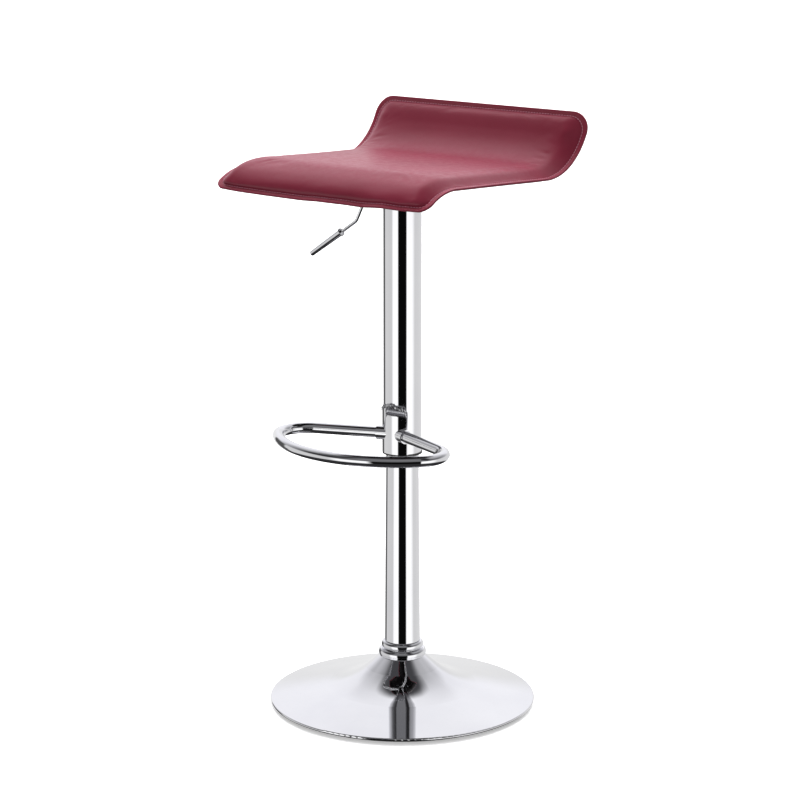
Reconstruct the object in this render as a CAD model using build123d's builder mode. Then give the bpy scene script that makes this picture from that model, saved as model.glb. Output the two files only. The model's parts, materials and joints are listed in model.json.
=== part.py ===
from build123d import *
import os
from math import cos, radians, sin, sqrt, tan

# Gas-lift bar stool, in mm. +Z is up, the floor is z = 0, the column's axis is the
# Z axis and the sitter faces -Y. The stool is drawn with its seat fully raised.

os.makedirs("parts", exist_ok=True)

fit_gap = 0.05  # radial clearance of every running fit

# trumpet base
base_radius = 192.5
base_shell_thickness = 1.6
rim_radius = 2.2
rim_bottom = 4.4
disc_slope = 11.5
cone_slope = 41.0
neck_top = (33.0, 70.0)
flare_radius = 120.0  # the long hollow curve between the disc and the cone
floor_ring_inner = 172.0
floor_ring_outer = 181.0
cover_bottom = 2.4
cover_thickness = 1.2
weight_bottom = cover_bottom + cover_thickness
weight_radius = 187.0
weight_edge = 3.0
weight_hub_radius = 62.0
weight_hub_height = 10.0
socket_flange_radius = 60.0
socket_flange_thickness = 5.0
socket_top = 60.0
socket_wall = 3.0
socket_screw_circle = 46.0
socket_screw_radius = 2.9
socket_screw_head = 5.9
socket_screw_length = 11.0
cover_screw_circle = 150.0
cover_screw_radius = 2.4
cover_screw_head = 4.5
cover_screw_head_height = 1.7
cover_screw_length = 5.0

# fixed lower column, a tube that narrows upwards
column_bottom = 14.0
column_top = 465.0
column_bottom_radius = 26.5
column_top_radius = 22.9
column_wall = 1.5
end_plate_thickness = 6.0

# two-step ring at the column's foot
collar_groove = 81.0
collar_groove_height = 2.0
collar_top = 92.0
collar_low_radius = 34.8
collar_shoulder_radius = 32.2
collar_groove_radius = 28.8
collar_skirt_radius = 30.6
collar_top_radius = 27.8

# thrust bearing under the piston rod
race_thickness = 2.0
ball_radius = 2.0
ball_circle = 11.0
ball_count = 12
race_overlap = 5.0  # how far each race reaches past the ball circle
cage_overlap = 3.0
cage_thickness = 1.4
guide_length = 80.0
guide_rim = 3.0

# gas spring
rod_radius = 5.0
rod_bottom = 8.0
rod_groove = 11.0
rod_groove_height = 1.3
rod_groove_radius = 4.2
rod_shoulder_radius = 9.0
rod_shoulder_height = 4.0
stop_radius = 10.0
stop_height = 14.0
rod_clip_radius = 7.5
cylinder_bottom = 405.0
cylinder_taper_start = 700.0
cylinder_top = 745.0
cylinder_radius = 14.0
cylinder_top_radius = 13.3
cylinder_wall = 1.5
end_cap_height = 15.0
end_plug_height = 25.0
button_recess = 9.2
piston_head_height = 12.0
seal_thickness = 3.0
seal_depth = 1.2
button_radius = 3.0
button_bottom = 740.9
button_top = 748.9

# sleeve that rises and turns with the seat
sleeve_bottom = 375.0
sleeve_top = 742.0
sleeve_radius = 27.5
sleeve_wall = 1.2
bush_radius = 25.7
bush_height = 20.0
bush_flange_radius = 28.6
bush_flange_height = 2.6

# footrest
footrest_z = 403.0
footrest_tube_radius = 8.0
footrest_tube_wall = 1.5
footrest_arm_angle = 21.65  # each arm leans forward from the X direction
footrest_arm_cross = -14.4  # y where the lines of the two arms meet
footrest_corner_radius = 41.8
footrest_front_radius = 169.8
footrest_front = -182.0
saddle_thickness = 1.8
saddle_half_angle = 53.0
saddle_peak = 446.0
saddle_shoulder = 426.0
arm_collar_width = 2.0

# seat sheet: two arcs joined by a flat that falls slightly to the rear
seat_width = 375.0
seat_height = 776.7  # sewn edge above the column's axis
seat_slope = 2.9
seat_flat_front = -120.0
seat_flat_rear = 85.0
seat_bend_radius = 100.0
seat_front_angle = 39.0
seat_rear_angle = 80.5
front_corner_radius = 16.0
rear_corner_radius = 33.0
flange_width = 7.0
cover_skin = 1.2
pad_height = 14.0
board_thickness = 9.0
underside = -5.0
board_bottom = underside + cover_skin
board_top = board_bottom + board_thickness
foam_inset = flange_width + cover_skin

# seat mechanism
plate_size = 150.0
plate_thickness = 3.0
plate_corner = 14.0
plate_slot = (44.0, 16.0)
plate_slot_spacing = 80.0
bolt_spacing = 110.0
bolt_radius = 4.0
bolt_hole_radius = 4.3
bolt_head = 4.5
bolt_head_radius = 7.5
washer_radius = 8.5
washer_thickness = 1.6
nut_radius = 5.2
nut_flange = 9.5
nut_flange_thickness = 1.2
hub_radius = 21.0
hub_depth = 30.0
hub_rim = 8.0
taper_gap = 0.02
housing_size = (90.0, 66.0)
housing_corner = 10.0
housing_wall_length = 70.0
housing_wall_height = 30.0
housing_floor = 2.5
housing_wall_y = 14.0
housing_wall = 2.5
pivot_x = -25.0
pivot_z = 752.0
pin_radius = 2.5
pin_head_radius = 4.5
pin_head_height = 2.0
pin_end = 3.0  # how far the pin stands out of each wall
clip_radius = 5.0
clip_thickness = 1.0
clip_mouth = 3.0

# lever
lever_rod_radius = 2.5
lever_upper_bend = (-57.0, pivot_z)
lever_lower_bend = (-83.0, 699.0)
lever_end = (-166.1, 643.1)
lever_bend_radii = (7.0, 16.0)
handle_length = 68.0
handle_end_radius = 4.0
handle_grip_radius = 4.9
handle_bore_depth = 22.0
handle_ring_radius = 6.0
handle_ring_width = 3.0
cam_width = 10.0
cam_half_height = 5.0
cam_nose_half_height = 2.5
cam_back = 10.0
rod_socket_depth = 6.0


def column_radius(z):
    """Outer radius of the tapered column at height z."""
    slope = (column_bottom_radius - column_top_radius) / (column_top - column_bottom)
    return column_bottom_radius - slope * (z - column_bottom)


def ring_section(inner, outer, low, high):
    """Rectangle of a plain ring, to revolve about the Z axis."""
    with BuildSketch(Plane.XZ) as section:
        with Locations(((inner + outer) / 2, (low + high) / 2)):
            Rectangle(outer - inner, high - low)
    return section.sketch


def save(builder, name):
    builder.part.label = name
    export_step(builder.part, f"parts/{name}.step")


# ---------------------------------------------------------------- base

weight_tail = weight_bottom + weight_hub_height
bore_radius = column_bottom_radius + fit_gap
socket_radius = bore_radius + socket_wall

with BuildPart() as floor_ring:
    with BuildSketch(Plane.XZ):
        with BuildLine():
            Polyline(
                (floor_ring_inner, 0), (floor_ring_outer - 1, 0), (floor_ring_outer, 1),
                (floor_ring_outer, weight_bottom), (floor_ring_inner, weight_bottom), close=True,
            )
        make_face()
    revolve()
save(floor_ring, "floor_ring")

with BuildPart() as base_shell:
    with BuildSketch(Plane.XZ):
        with BuildLine():
            rim = CenterArc(
                (base_radius - rim_radius, rim_bottom + rim_radius), rim_radius, -90, 180 - disc_slope
            )
            disc_rise = tan(radians(disc_slope))
            cone_rise = tan(radians(cone_slope))
            rim_end = rim @ 1
            # the lines of the two slopes are axis_gap apart at the Z axis and cross at corner_radius
            axis_gap = neck_top[1] + neck_top[0] * cone_rise - rim_end.Y - rim_end.X * disc_rise
            corner_radius = axis_gap / (cone_rise - disc_rise)
            corner_height = rim_end.Y + (rim_end.X - corner_radius) * disc_rise
            flare = FilletPolyline(rim_end, (corner_radius, corner_height), neck_top, radius=flare_radius)
            step = base_shell_thickness
            top = Line(flare @ 1, (neck_top[0] - step / sin(radians(cone_slope)), neck_top[1]))
            middle_slope = radians((cone_slope + disc_slope) / 2)
            corner_step = step / cos(radians((cone_slope - disc_slope) / 2))
            inner_corner = (
                corner_radius - corner_step * sin(middle_slope),
                corner_height - corner_step * cos(middle_slope),
            )
            inner_end = (base_radius - rim_radius, rim_bottom + 2 * rim_radius - step)
            inner = FilletPolyline(top @ 1, inner_corner, inner_end, radius=flare_radius + step)
            Line(inner @ 1, rim @ 0)
        make_face()
    revolve()
save(base_shell, "base_shell")

with BuildPart() as counterweight:
    with BuildSketch(Plane.XZ):
        with BuildLine():
            Polyline(
                (socket_radius, weight_bottom), (weight_radius, weight_bottom),
                (weight_radius, weight_bottom + weight_edge), (weight_hub_radius, weight_tail),
                (socket_radius, weight_tail),
                close=True,
            )
        make_face()
    revolve()
    with Locations((0, 0, weight_bottom)):
        Cylinder(
            socket_flange_radius + fit_gap, socket_flange_thickness,
            align=(Align.CENTER, Align.CENTER, Align.MIN), mode=Mode.SUBTRACT,
        )
    with BuildSketch(Plane.XY.offset(weight_bottom)):
        with PolarLocations(socket_screw_circle, 4):
            Circle(socket_screw_radius + 0.1)
        with PolarLocations(cover_screw_circle, 4, start_angle=45):
            Circle(cover_screw_radius + 0.1)
    extrude(amount=2 * weight_hub_height, mode=Mode.SUBTRACT)
save(counterweight, "counterweight")

with BuildPart() as base_cover:
    with BuildSketch(Plane.XY.offset(cover_bottom)):
        Circle(floor_ring_inner - 0.4)
        with PolarLocations(cover_screw_circle, 4, start_angle=45):
            Circle(cover_screw_radius + 0.3, mode=Mode.SUBTRACT)
    extrude(amount=cover_thickness)
save(base_cover, "base_cover")

with BuildPart() as cover_screws:
    with BuildSketch(Plane.XY.offset(cover_bottom)):
        with PolarLocations(cover_screw_circle, 4, start_angle=45):
            Circle(cover_screw_radius)
    extrude(amount=cover_screw_length)
    with BuildSketch(Plane.XY.offset(cover_bottom)):
        with PolarLocations(cover_screw_circle, 4, start_angle=45):
            Circle(cover_screw_head)
    extrude(amount=-cover_screw_head_height)
    chamfer(cover_screws.edges().group_by(Axis.Z)[0], 0.6)
save(cover_screws, "cover_screws")

with BuildPart() as column_socket:
    with BuildSketch(Plane.XZ):
        with BuildLine():
            flange_top = weight_bottom + socket_flange_thickness
            Polyline(
                (bore_radius, weight_bottom), (socket_flange_radius, weight_bottom),
                (socket_flange_radius, flange_top), (socket_radius, flange_top),
                (socket_radius, socket_top), (column_radius(socket_top) + fit_gap, socket_top),
                (bore_radius, column_bottom), close=True,
            )
        make_face()
    revolve()
    with Locations(Plane.XY.offset(weight_bottom).rotated((180, 0, 0))):
        with PolarLocations(socket_screw_circle, 4):
            CounterSinkHole(socket_screw_radius + 0.2, socket_screw_head + 0.3)
save(column_socket, "column_socket")

with BuildPart() as socket_screws:
    with BuildSketch(Plane.XY.offset(weight_bottom)):
        with PolarLocations(socket_screw_circle, 4):
            Circle(socket_screw_radius)
    extrude(amount=socket_screw_length)
    with PolarLocations(socket_screw_circle, 4):
        with Locations((0, 0, weight_bottom)):
            Cone(
                socket_screw_head, socket_screw_radius, socket_screw_head - socket_screw_radius,
                align=(Align.CENTER, Align.CENTER, Align.MIN),
            )
save(socket_screws, "socket_screws")

with BuildPart() as column_collar:
    with BuildSketch(Plane.XZ):
        with BuildLine():
            groove_top = collar_groove + collar_groove_height
            low_middle = (neck_top[1] + collar_groove) / 2
            top_middle = (groove_top + collar_top) / 2
            ThreePointArc(neck_top, (collar_low_radius, low_middle), (collar_shoulder_radius, collar_groove))
            Polyline(
                (collar_shoulder_radius, collar_groove), (collar_groove_radius, collar_groove),
                (collar_groove_radius, groove_top), (collar_skirt_radius - 1, groove_top),
            )
            ThreePointArc(
                (collar_skirt_radius - 1, groove_top), (collar_skirt_radius, top_middle),
                (collar_top_radius, collar_top),
            )
            Polyline(
                (collar_top_radius, collar_top), (column_radius(collar_top) + fit_gap, collar_top),
                (column_radius(neck_top[1]) + fit_gap, neck_top[1]), neck_top,
            )
        make_face()
    revolve()
save(column_collar, "column_collar")

with BuildPart() as column_tube:
    with BuildSketch(Plane.XZ):
        with BuildLine():
            Polyline(
                (column_bottom_radius - column_wall, column_bottom),
                (column_bottom_radius, column_bottom), (column_top_radius, column_top),
                (column_top_radius - column_wall, column_top), close=True,
            )
        make_face()
    revolve()
save(column_tube, "column_tube")

with BuildPart() as column_end_plate:
    with BuildSketch(Plane.XY.offset(column_bottom)):
        Circle(column_radius(column_bottom + end_plate_thickness) - column_wall)
        Circle(rod_radius + fit_gap, mode=Mode.SUBTRACT)
    extrude(amount=end_plate_thickness)
save(column_end_plate, "column_end_plate")

race_bottom = column_bottom + end_plate_thickness
ball_plane = race_bottom + race_thickness + ball_radius
upper_race = ball_plane + ball_radius

with BuildPart() as lower_race:
    add(ring_section(rod_radius + 1, ball_circle + race_overlap, race_bottom, race_bottom + race_thickness))
    revolve()
save(lower_race, "lower_race")

with BuildPart() as bearing_balls:
    with Locations((0, 0, ball_plane)):
        with PolarLocations(ball_circle, ball_count):
            Sphere(ball_radius - fit_gap)
save(bearing_balls, "bearing_balls")

with BuildPart() as ball_cage:
    with BuildSketch(Plane.XY.offset(ball_plane)):
        Circle(ball_circle + cage_overlap)
        Circle(ball_circle - cage_overlap, mode=Mode.SUBTRACT)
        with PolarLocations(ball_circle, ball_count):
            Circle(ball_radius + fit_gap, mode=Mode.SUBTRACT)
    extrude(amount=cage_thickness / 2, both=True)
save(ball_cage, "ball_cage")

with BuildPart() as column_guide:
    guide_bottom = column_top - guide_length
    with BuildSketch(Plane.XZ):
        with BuildLine():
            Polyline(
                (cylinder_radius + fit_gap, guide_bottom),
                (column_radius(guide_bottom) - column_wall, guide_bottom),
                (column_top_radius - column_wall, column_top), (column_top_radius, column_top),
                (column_top_radius, column_top + guide_rim),
                (cylinder_radius + fit_gap, column_top + guide_rim),
                close=True,
            )
        make_face()
    revolve()
save(column_guide, "column_guide")

# ---------------------------------------------------------------- piston, turns in the base

shoulder_bottom = upper_race + race_thickness
head_bottom = cylinder_bottom + end_cap_height + 0.5

with BuildPart() as upper_race_washer:
    add(ring_section(rod_radius, ball_circle + race_overlap, upper_race, shoulder_bottom))
    revolve()
save(upper_race_washer, "upper_race")

with BuildPart() as piston_rod:
    with BuildSketch(Plane.XZ):
        with BuildLine():
            shoulder_top = shoulder_bottom + rod_shoulder_height
            Polyline(
                (0, rod_bottom), (rod_radius - 1, rod_bottom), (rod_radius, rod_bottom + 1),
                (rod_radius, rod_groove), (rod_groove_radius, rod_groove),
                (rod_groove_radius, rod_groove + rod_groove_height),
                (rod_radius, rod_groove + rod_groove_height), (rod_radius, shoulder_bottom),
                (rod_shoulder_radius, shoulder_bottom), (rod_shoulder_radius, shoulder_top),
                (rod_radius, shoulder_top),
                (rod_radius, head_bottom), (0, head_bottom), close=True,
            )
        make_face()
    revolve()
save(piston_rod, "piston_rod")

with BuildPart() as bump_stop:
    add(ring_section(rod_radius, stop_radius, shoulder_top, shoulder_top + stop_height))
    revolve()
    chamfer(bump_stop.edges().group_by(Axis.Z)[-1].sort_by(SortBy.RADIUS)[-1], 2)
save(bump_stop, "bump_stop")

with BuildPart() as piston_head:
    head_radius = cylinder_radius - cylinder_wall - fit_gap
    seal_bottom = head_bottom + 4
    add(ring_section(0, head_radius, head_bottom, head_bottom + piston_head_height))
    revolve()
    add(ring_section(head_radius - seal_depth, head_radius + 1, seal_bottom, seal_bottom + seal_thickness))
    revolve(mode=Mode.SUBTRACT)
save(piston_head, "piston_head")

with BuildPart() as piston_seal:
    add(ring_section(head_radius - seal_depth, head_radius, seal_bottom, seal_bottom + seal_thickness))
    revolve()
save(piston_seal, "piston_seal")

with BuildPart() as rod_washer:
    washer_bottom = rod_groove + rod_groove_height
    add(ring_section(rod_radius, stop_radius, washer_bottom, column_bottom - 0.1))
    revolve()
save(rod_washer, "rod_washer")

with BuildPart() as rod_clip:
    with BuildSketch(Plane.XY.offset(rod_groove)):
        Circle(rod_clip_radius)
        Circle(rod_groove_radius, mode=Mode.SUBTRACT)
        with Locations((6, 0)):
            Rectangle(8, 5, mode=Mode.SUBTRACT)
    extrude(amount=rod_groove_height)
save(rod_clip, "rod_clip")

# ---------------------------------------------------------------- lift, rises with the seat

with BuildPart() as gas_cylinder:
    with BuildSketch(Plane.XZ):
        with BuildLine():
            bore = cylinder_radius - cylinder_wall
            button_bore = button_radius + fit_gap
            Polyline(
                (bore, cylinder_bottom), (cylinder_radius, cylinder_bottom),
                (cylinder_radius, cylinder_taper_start), (cylinder_top_radius, cylinder_top),
                (button_bore, cylinder_top), (button_bore, cylinder_top - button_recess),
                (0, cylinder_top - button_recess), (0, cylinder_top - end_plug_height),
                (bore, cylinder_top - end_plug_height),
                close=True,
            )
        make_face()
    revolve()
save(gas_cylinder, "gas_cylinder")

with BuildPart() as cylinder_end_cap:
    add(ring_section(rod_radius + fit_gap, bore, cylinder_bottom, cylinder_bottom + end_cap_height))
    revolve()
save(cylinder_end_cap, "cylinder_end_cap")

with BuildPart() as sleeve_tube:
    add(ring_section(sleeve_radius - sleeve_wall, sleeve_radius, sleeve_bottom, sleeve_top))
    revolve()
save(sleeve_tube, "sleeve_tube")

with BuildPart() as sleeve_bush:
    sleeve_bore = sleeve_radius - sleeve_wall
    add(ring_section(bush_radius, sleeve_bore, sleeve_bottom, sleeve_bottom + bush_height))
    add(ring_section(bush_radius, bush_flange_radius, sleeve_bottom - bush_flange_height, sleeve_bottom))
    revolve()
save(sleeve_bush, "sleeve_bush")

saddle_radius = sleeve_radius + saddle_thickness

with BuildPart() as footrest_saddle:
    with BuildSketch(Plane.XY.offset(sleeve_bottom)):
        Circle(saddle_radius)
        Circle(sleeve_radius, mode=Mode.SUBTRACT)
        with BuildLine():
            reach = 2 * saddle_radius
            edge = (reach * sin(radians(saddle_half_angle)), -reach * cos(radians(saddle_half_angle)))
            Polyline((0, 0), edge, (edge[0], -reach), (-edge[0], -reach), (-edge[0], edge[1]), close=True)
        make_face(mode=Mode.INTERSECT)
    extrude(amount=saddle_peak - sleeve_bottom)
    with BuildSketch(Plane.XZ):
        with BuildLine():
            arch = ThreePointArc(
                (-saddle_radius, saddle_shoulder), (0, saddle_peak), (saddle_radius, saddle_shoulder)
            )
            Polyline(
                arch @ 1, (saddle_radius, saddle_peak + 5), (-saddle_radius, saddle_peak + 5), arch @ 0
            )
        make_face()
    extrude(amount=saddle_radius + 5, mode=Mode.SUBTRACT)
save(footrest_saddle, "footrest_saddle")

# each footrest arm runs from the saddle to a corner arc that meets the front arc
arm_run = Vector(cos(radians(footrest_arm_angle)), -sin(radians(footrest_arm_angle)))
arm_inward = Vector(-sin(radians(footrest_arm_angle)), -cos(radians(footrest_arm_angle)))
arm_start = Vector(0, footrest_arm_cross, footrest_z)
front_centre = Vector(0, footrest_front + footrest_front_radius, footrest_z)
centre_gap = footrest_front_radius - footrest_corner_radius
corner_offset = arm_start + arm_inward * footrest_corner_radius - front_centre
along = arm_run.dot(corner_offset)
arm_length = -along + sqrt(along**2 + centre_gap**2 - corner_offset.length**2)
corner_centre = front_centre + corner_offset + arm_run * arm_length
corner_start = 90 - footrest_arm_angle
front_angle = Vector(1, 0).get_angle(corner_centre - front_centre)
arm_plane = Plane(origin=arm_start, z_dir=arm_run)

with BuildPart() as footrest_ring:
    with BuildLine(Plane.XY.offset(footrest_z)) as half_path:
        Line(arm_start, arm_start + arm_run * arm_length)
        CenterArc(corner_centre, footrest_corner_radius, corner_start, -corner_start - front_angle)
        CenterArc(front_centre, footrest_front_radius, -front_angle, front_angle - 90)
    with BuildSketch(arm_plane):
        Circle(footrest_tube_radius)
        Circle(footrest_tube_radius - footrest_tube_wall, mode=Mode.SUBTRACT)
    sweep(path=half_path.wire())
    mirror(about=Plane.YZ)
    with Locations((0, 0, footrest_z)):
        Cylinder(saddle_radius, 4 * footrest_tube_radius, mode=Mode.SUBTRACT)
save(footrest_ring, "footrest_ring")

with BuildPart() as arm_collars:
    with BuildSketch(arm_plane):
        Circle(footrest_tube_radius + arm_collar_width)
        Circle(footrest_tube_radius, mode=Mode.SUBTRACT)
    extrude(amount=saddle_radius - 1)
    chamfer(arm_collars.edges().filter_by(GeomType.CIRCLE).sort_by(Axis.X)[-1], 1)
    mirror(about=Plane.YZ)
    with Locations((0, 0, footrest_z)):
        Cylinder(saddle_radius, 4 * footrest_tube_radius, mode=Mode.SUBTRACT)
save(arm_collars, "arm_collars")

# ---------------------------------------------------------------- seat mechanism

seat_normal = Vector(0, sin(radians(seat_slope)), cos(radians(seat_slope)))


def seat_plane(depth):
    """Plane of the seat's flat, at the given distance above the sewn edge."""
    return Plane(origin=Vector(0, 0, seat_height) + seat_normal * depth, x_dir=(1, 0, 0), z_dir=seat_normal)


plate_bottom = underside - plate_thickness

with BuildPart() as mechanism_plate:
    with BuildSketch(seat_plane(plate_bottom)):
        RectangleRounded(plate_size, plate_size, plate_corner)
        with GridLocations(bolt_spacing, bolt_spacing, 2, 2):
            Circle(bolt_hole_radius, mode=Mode.SUBTRACT)
        with GridLocations(bolt_spacing, plate_slot_spacing, 2, 1):
            SlotOverall(*plate_slot, rotation=90, mode=Mode.SUBTRACT)
    extrude(amount=plate_thickness)
save(mechanism_plate, "mechanism_plate")

with BuildPart() as mechanism_housing:
    with BuildSketch(Plane.XY.offset(sleeve_top)):
        RectangleRounded(*housing_size, housing_corner)
        Circle(cylinder_top_radius + 0.4, mode=Mode.SUBTRACT)
    extrude(amount=housing_floor)
    with BuildSketch(Plane.XY.offset(sleeve_top + housing_floor)):
        with GridLocations(1, 2 * housing_wall_y + housing_wall, 1, 2):
            with Locations((-5, 0)):
                Rectangle(housing_wall_length, housing_wall)
    extrude(amount=housing_wall_height)
    split(bisect_by=seat_plane(plate_bottom), keep=Keep.BOTTOM)
    with BuildSketch(Plane.XZ):
        with Locations((pivot_x, pivot_z)):
            Circle(pin_radius)
    extrude(amount=2 * housing_wall_y, both=True, mode=Mode.SUBTRACT)
save(mechanism_housing, "mechanism_housing")

with BuildPart() as taper_hub:
    hub_bottom = sleeve_top - hub_depth
    taper = (cylinder_radius - cylinder_top_radius) / (cylinder_top - cylinder_taper_start)
    with BuildSketch(Plane.XZ):
        with BuildLine():
            Polyline(
                (cylinder_top_radius + taper * (cylinder_top - hub_bottom) + taper_gap, hub_bottom),
                (hub_radius, hub_bottom), (hub_radius, sleeve_top - hub_rim),
                (sleeve_bore, sleeve_top - hub_rim),
                (sleeve_bore, sleeve_top),
                (cylinder_top_radius + taper * (cylinder_top - sleeve_top) + taper_gap, sleeve_top),
                close=True,
            )
        make_face()
    revolve()
save(taper_hub, "taper_hub")

with BuildPart() as pivot_pin:
    pin_half = housing_wall_y + housing_wall + pin_end
    with BuildSketch(Plane.XZ.offset(-pin_half)):
        with Locations((pivot_x, pivot_z)):
            Circle(pin_radius)
    extrude(amount=2 * pin_half)
    with BuildSketch(Plane.XZ.offset(-pin_half)):
        with Locations((pivot_x, pivot_z)):
            Circle(pin_head_radius)
    extrude(amount=pin_head_height)
save(pivot_pin, "pivot_pin")

with BuildPart() as pin_clip:
    with BuildSketch(Plane.XZ.offset(housing_wall_y + housing_wall + 0.5)):
        with Locations((pivot_x, pivot_z)):
            Circle(clip_radius)
            Circle(pin_radius, mode=Mode.SUBTRACT)
            with Locations((0, clip_radius)):
                Rectangle(clip_mouth, 2 * clip_radius, mode=Mode.SUBTRACT)
    extrude(amount=clip_thickness)
save(pin_clip, "pin_clip")

with BuildPart() as seat_washers:
    with BuildSketch(seat_plane(plate_bottom)):
        with GridLocations(bolt_spacing, bolt_spacing, 2, 2):
            Circle(washer_radius)
            Circle(bolt_hole_radius, mode=Mode.SUBTRACT)
    extrude(amount=-washer_thickness)
save(seat_washers, "seat_washers")

with BuildPart() as seat_bolts:
    head_top = plate_bottom - washer_thickness
    with BuildSketch(seat_plane(head_top)):
        with GridLocations(bolt_spacing, bolt_spacing, 2, 2):
            Circle(bolt_radius - fit_gap)
    extrude(amount=board_top - 1 - head_top)
    with BuildSketch(seat_plane(head_top)):
        with GridLocations(bolt_spacing, bolt_spacing, 2, 2):
            RegularPolygon(bolt_head_radius, 6)
    extrude(amount=-bolt_head)
save(seat_bolts, "seat_bolts")

with BuildPart() as tee_nuts:
    with BuildSketch(seat_plane(board_bottom)):
        with GridLocations(bolt_spacing, bolt_spacing, 2, 2):
            Circle(nut_radius)
            Circle(bolt_radius, mode=Mode.SUBTRACT)
    extrude(amount=board_thickness - nut_flange_thickness)
    with BuildSketch(seat_plane(board_top)):
        with GridLocations(bolt_spacing, bolt_spacing, 2, 2):
            Circle(nut_flange)
            Circle(bolt_radius, mode=Mode.SUBTRACT)
    extrude(amount=-nut_flange_thickness)
save(tee_nuts, "tee_nuts")

# ---------------------------------------------------------------- seat, bent sheets one on another

def flat_point(y, depth):
    """Point (y, z) of the seat's flat, at the given distance above the sewn edge."""
    origin = Vector(0, 0, seat_height) + seat_normal * depth
    run = y / cos(radians(seat_slope))
    return (origin.Y + y, origin.Z - run * sin(radians(seat_slope)))


front_pivot = flat_point(seat_flat_front, -seat_bend_radius)
rear_pivot = flat_point(seat_flat_rear, seat_bend_radius)


def sheet_outline(inset, low, high):
    """Side section (y, z) of a bent sheet between two depths, its ends inset from the sewn edge."""
    edge_angle = inset / radians(1) / seat_bend_radius
    front_sweep = seat_front_angle + seat_slope - edge_angle
    rear_sweep = seat_rear_angle + seat_slope - edge_angle
    front_start = 90 - seat_slope + front_sweep
    with BuildLine() as outline:
        ends = []
        for depth in (low, high):
            front = CenterArc(front_pivot, seat_bend_radius + depth, front_start, -front_sweep)
            rear = CenterArc(rear_pivot, seat_bend_radius - depth, -90 - seat_slope, rear_sweep)
            Line(front @ 1, rear @ 0)
            ends.append((front @ 0, rear @ 1))
        Line(ends[0][0], ends[1][0])
        Line(ends[0][1], ends[1][1])
    return outline.edges()


def seat_sheet(inset, low, high):
    """Bent sheet with rounded corners: a thick blank is rounded, then pared to its depths."""
    spare = max(0, 8 - (high - low))
    with BuildPart() as sheet:
        with BuildSketch(Plane.YZ):
            make_face(sheet_outline(inset, low - spare, high + spare))
        extrude(amount=seat_width / 2 - inset, both=True)
        corners = sheet.edges().filter_by(GeomType.LINE).group_by(SortBy.LENGTH)[0].sort_by(Axis.Y)
        fillet(corners[:2], max(front_corner_radius - inset, 4))
        corners = sheet.edges().filter_by(GeomType.LINE).group_by(SortBy.LENGTH)[0].sort_by(Axis.Y)
        fillet(corners[-2:], rear_corner_radius - inset)
        with BuildSketch(Plane.YZ):
            make_face(sheet_outline(inset, low, high))
        extrude(amount=seat_width, both=True, mode=Mode.INTERSECT)
    return sheet.part


with BuildPart() as seat_board:
    add(seat_sheet(foam_inset, board_bottom, board_top))
    with BuildSketch(seat_plane(board_top)):
        with GridLocations(bolt_spacing, bolt_spacing, 2, 2):
            Circle(nut_radius)
    extrude(amount=board_thickness, both=True, mode=Mode.SUBTRACT)
    with BuildSketch(seat_plane(board_top)):
        with GridLocations(bolt_spacing, bolt_spacing, 2, 2):
            Circle(nut_flange)
    extrude(amount=-nut_flange_thickness, mode=Mode.SUBTRACT)
save(seat_board, "seat_board")

with BuildPart() as seat_foam:
    add(seat_sheet(foam_inset, board_top, pad_height - cover_skin))
save(seat_foam, "seat_foam")

with BuildPart() as seat_cover:
    add(seat_sheet(0, 0, cover_skin))
    add(seat_sheet(flange_width, 0, pad_height))
    add(seat_sheet(foam_inset, -1, pad_height - cover_skin), mode=Mode.SUBTRACT)
save(seat_cover, "seat_cover")

with BuildPart() as seat_undercover:
    add(seat_sheet(0, -cover_skin, 0))
    add(seat_sheet(flange_width, underside, 0))
    add(seat_sheet(foam_inset, board_bottom, 1), mode=Mode.SUBTRACT)
    with BuildSketch(seat_plane(underside)):
        with GridLocations(bolt_spacing, bolt_spacing, 2, 2):
            Circle(nut_radius)
    extrude(amount=3, both=True, mode=Mode.SUBTRACT)
save(seat_undercover, "seat_undercover")

# ---------------------------------------------------------------- lever and valve button

with BuildPart() as valve_button:
    add(ring_section(0, button_radius, button_bottom, button_top))
    revolve()
    chamfer(valve_button.edges().group_by(Axis.Z)[-1], 0.8)
save(valve_button, "valve_button")

socket_end = pivot_x - cam_back + rod_socket_depth
cam_tip = button_radius + 1

with BuildPart() as lever_cam:
    with BuildSketch(Plane.XZ.offset(-cam_width / 2)):
        with BuildLine():
            Polyline(
                (pivot_x - cam_back, pivot_z - cam_half_height),
                (pivot_x + 0.4 * cam_back, pivot_z - cam_half_height),
                (pivot_x + 0.9 * cam_back, pivot_z - cam_nose_half_height),
                (cam_tip, pivot_z - cam_nose_half_height), (cam_tip, pivot_z + cam_nose_half_height),
                (pivot_x + cam_back, pivot_z + cam_half_height),
                (pivot_x - cam_back, pivot_z + cam_half_height), close=True,
            )
        make_face()
        with Locations((pivot_x, pivot_z)):
            Circle(pin_radius + fit_gap, mode=Mode.SUBTRACT)
    extrude(amount=cam_width)
    with BuildSketch(Plane.YZ.offset(pivot_x - cam_back)):
        with Locations((0, pivot_z)):
            Circle(lever_rod_radius)
    extrude(amount=rod_socket_depth, mode=Mode.SUBTRACT)
save(lever_cam, "lever_cam")

lever_line = Vector(*lever_end) - Vector(*lever_lower_bend)
lever_line = Vector(lever_line.X, 0, lever_line.Y).normalized()
handle_plane = Plane(origin=(lever_end[0], 0, lever_end[1]), x_dir=(0, 1, 0), z_dir=-lever_line)

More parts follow.
